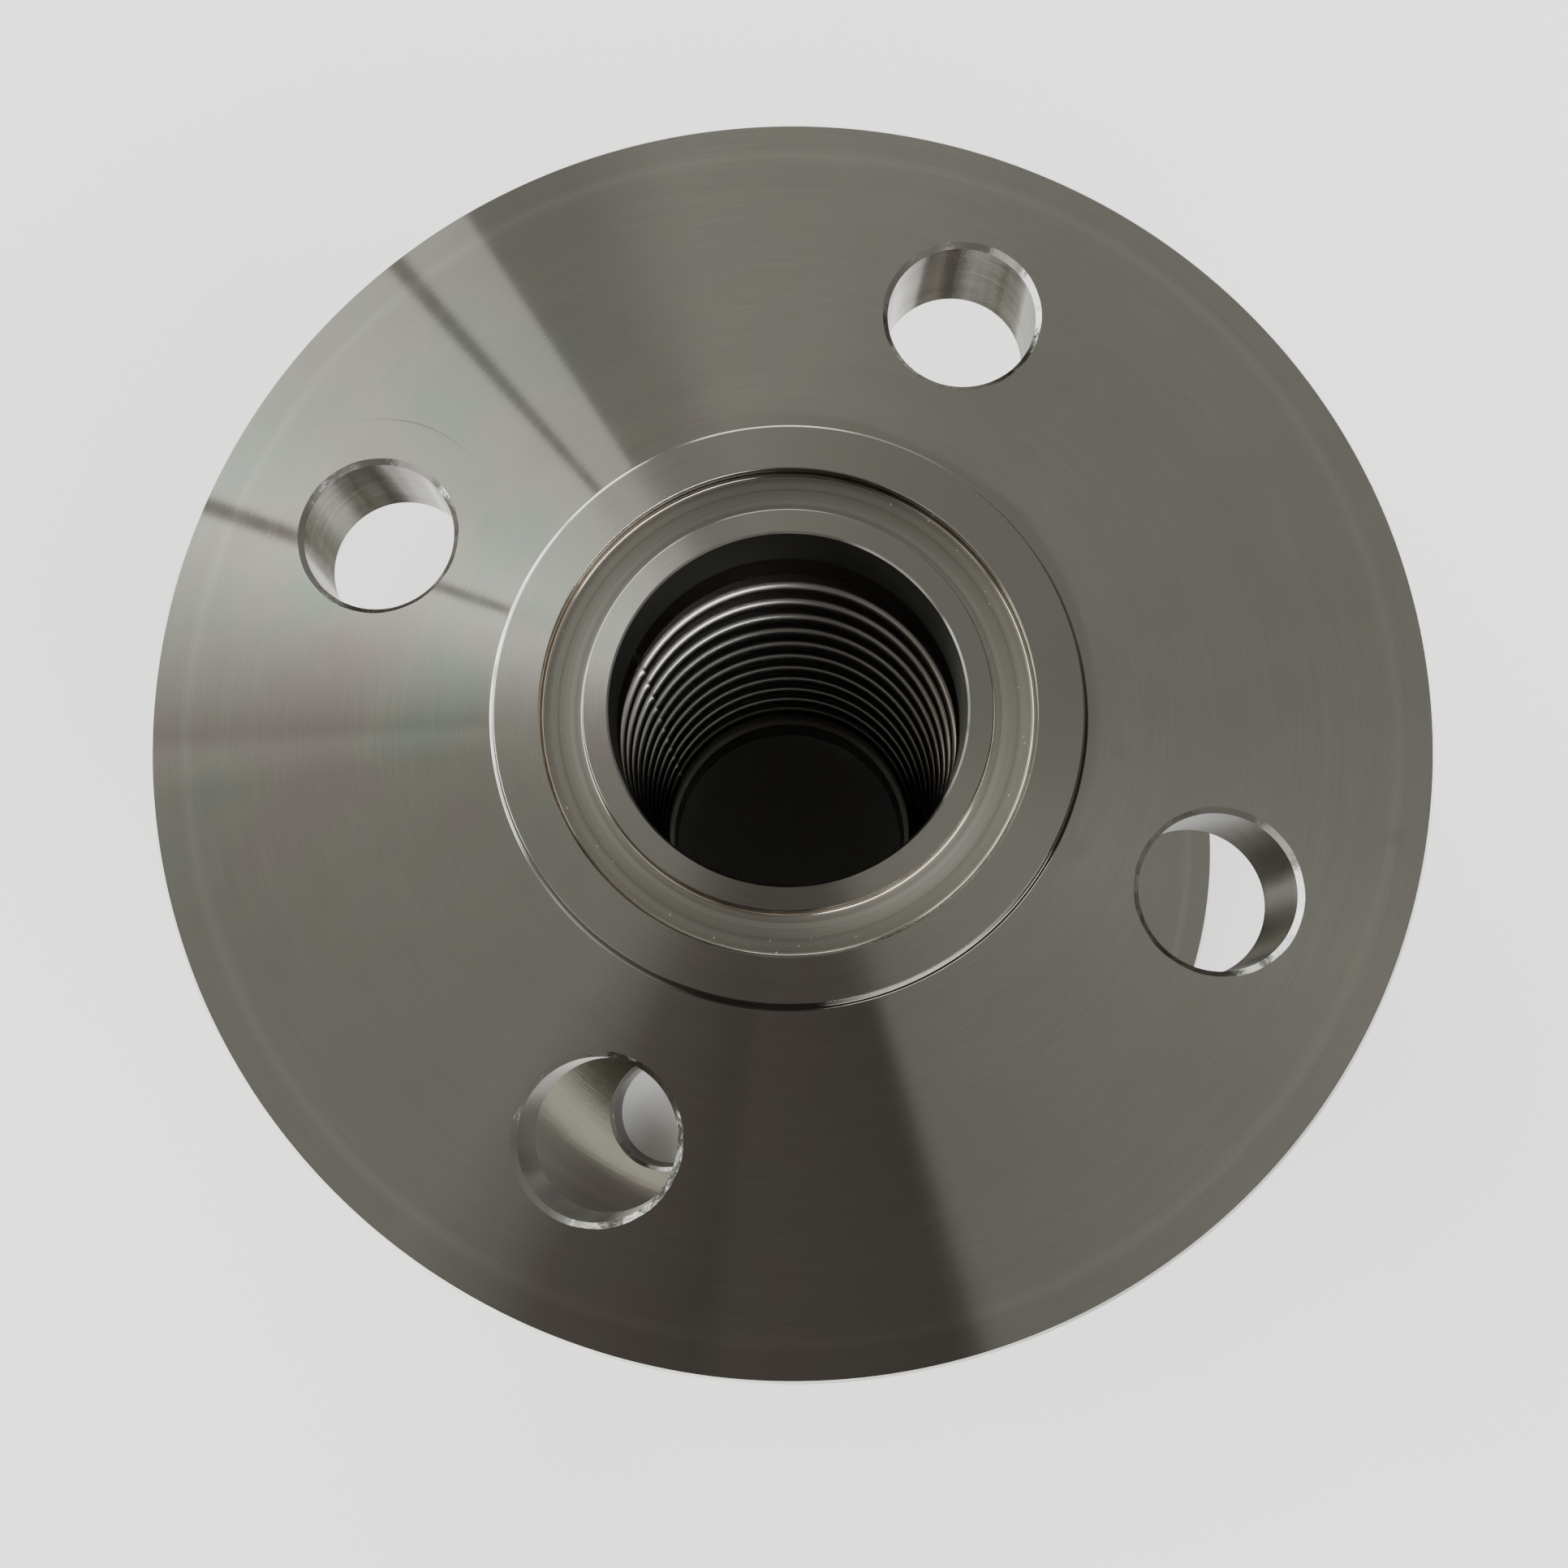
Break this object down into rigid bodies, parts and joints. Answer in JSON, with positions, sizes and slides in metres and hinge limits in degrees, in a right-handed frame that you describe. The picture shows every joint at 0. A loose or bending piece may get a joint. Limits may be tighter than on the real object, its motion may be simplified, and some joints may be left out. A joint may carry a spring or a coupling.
{
  "type": "metal bellows expansion joint",
  "caption": "Flanged expansion joint: a thin corrugated steel bellows between two drilled round flanges, each with a raised sealing face, face groove and through bore.",
  "frame": {"origin": "centre of the lower sealing face, which the part stands on", "axes": "+Z along the bore from the lower flange to the upper flange; the bolt holes straddle X and Y"},
  "size_m": [0.14, 0.14, 0.115],
  "materials": {
    "turned_steel": "turned stainless steel with fine concentric tool marks",
    "bellows_steel": "bright formed sheet",
    "weld_steel": "heat-tinted weld bead"
  },
  "bodies": {
    "lower_end": {"lower_flange": "turned_steel", "lower_collar": "turned_steel", "lower_weld": "weld_steel", "lower_cuff": "bellows_steel"},
    "ring_01": {"convolution_01": "bellows_steel"},
    "ring_02": {"convolution_02": "bellows_steel"},
    "ring_03": {"convolution_03": "bellows_steel"},
    "ring_04": {"convolution_04": "bellows_steel"},
    "ring_05": {"convolution_05": "bellows_steel"},
    "ring_06": {"convolution_06": "bellows_steel"},
    "ring_07": {"convolution_07": "bellows_steel"},
    "ring_08": {"convolution_08": "bellows_steel"},
    "ring_09": {"convolution_09": "bellows_steel"},
    "ring_10": {"convolution_10": "bellows_steel"},
    "ring_11": {"convolution_11": "bellows_steel"},
    "upper_end": {"upper_cuff": "bellows_steel", "upper_collar": "turned_steel", "upper_weld": "weld_steel", "upper_flange": "turned_steel"}
  },
  "joints": [
    {"name": "bend_x_lower", "type": "hinge", "parent": "lower_end", "child": "ring_01", "pos_m": [0, 0, 0.0168], "axis": [1, 0, 0], "range_deg": [-2.5, 2.5], "stiffness_Nm_per_rad": 50, "deforming": ["convolution_01"]},
    {"name": "bend_y_lower", "type": "hinge", "parent": "ring_01", "child": "ring_02", "pos_m": [0, 0, 0.0242], "axis": [0, 1, 0], "range_deg": [-2.5, 2.5], "stiffness_Nm_per_rad": 50, "deforming": ["convolution_02"]},
    {"name": "stretch", "type": "slide", "parent": "ring_02", "child": "ring_03", "axis": [0, 0, 1], "range_m": [-0.0025, 0.0015], "stiffness_N_per_m": 100000, "deforming": ["convolution_03"]},
    {"name": "bend_y_lower_follower", "type": "hinge", "parent": "ring_03", "child": "ring_04", "pos_m": [0, 0, 0.039], "axis": [0, 1, 0], "range_deg": [-2.5, 2.5], "stiffness_Nm_per_rad": 50, "deforming": ["convolution_04"]},
    {"name": "stretch_follower_1", "type": "slide", "parent": "ring_04", "child": "ring_05", "axis": [0, 0, 1], "range_m": [-0.0025, 0.0015], "stiffness_N_per_m": 100000, "deforming": ["convolution_05"]},
    {"name": "bend_x_lower_follower", "type": "hinge", "parent": "ring_05", "child": "ring_06", "pos_m": [0, 0, 0.0538], "axis": [1, 0, 0], "range_deg": [-2.5, 2.5], "stiffness_Nm_per_rad": 50, "deforming": ["convolution_06"]},
    {"name": "bend_x_upper", "type": "hinge", "parent": "ring_06", "child": "ring_07", "pos_m": [0, 0, 0.0612], "axis": [1, 0, 0], "range_deg": [-2.5, 2.5], "stiffness_Nm_per_rad": 50, "deforming": ["convolution_07"]},
    {"name": "stretch_follower_2", "type": "slide", "parent": "ring_07", "child": "ring_08", "axis": [0, 0, 1], "range_m": [-0.0025, 0.0015], "stiffness_N_per_m": 100000, "deforming": ["convolution_08"]},
    {"name": "bend_y_upper", "type": "hinge", "parent": "ring_08", "child": "ring_09", "pos_m": [0, 0, 0.076], "axis": [0, 1, 0], "range_deg": [-2.5, 2.5], "stiffness_Nm_per_rad": 50, "deforming": ["convolution_09"]},
    {"name": "stretch_follower_3", "type": "slide", "parent": "ring_09", "child": "ring_10", "axis": [0, 0, 1], "range_m": [-0.0025, 0.0015], "stiffness_N_per_m": 100000, "deforming": ["convolution_10"]},
    {"name": "bend_y_upper_follower", "type": "hinge", "parent": "ring_10", "child": "ring_11", "pos_m": [0, 0, 0.0908], "axis": [0, 1, 0], "range_deg": [-2.5, 2.5], "stiffness_Nm_per_rad": 50, "deforming": ["convolution_11"]},
    {"name": "bend_x_upper_follower", "type": "hinge", "parent": "ring_11", "child": "upper_end", "pos_m": [0, 0, 0.0982], "axis": [1, 0, 0], "range_deg": [-2.5, 2.5], "stiffness_Nm_per_rad": 50}
  ],
  "couplings": [
    {"joint": "bend_x_lower_follower", "follows": "bend_x_lower", "ratio": 1},
    {"joint": "bend_y_lower_follower", "follows": "bend_y_lower", "ratio": 1},
    {"joint": "bend_x_upper_follower", "follows": "bend_x_upper", "ratio": 1},
    {"joint": "bend_y_upper_follower", "follows": "bend_y_upper", "ratio": 1},
    {"joint": "stretch_follower_1", "follows": "stretch", "ratio": 1},
    {"joint": "stretch_follower_2", "follows": "stretch", "ratio": 1},
    {"joint": "stretch_follower_3", "follows": "stretch", "ratio": 1}
  ]
}
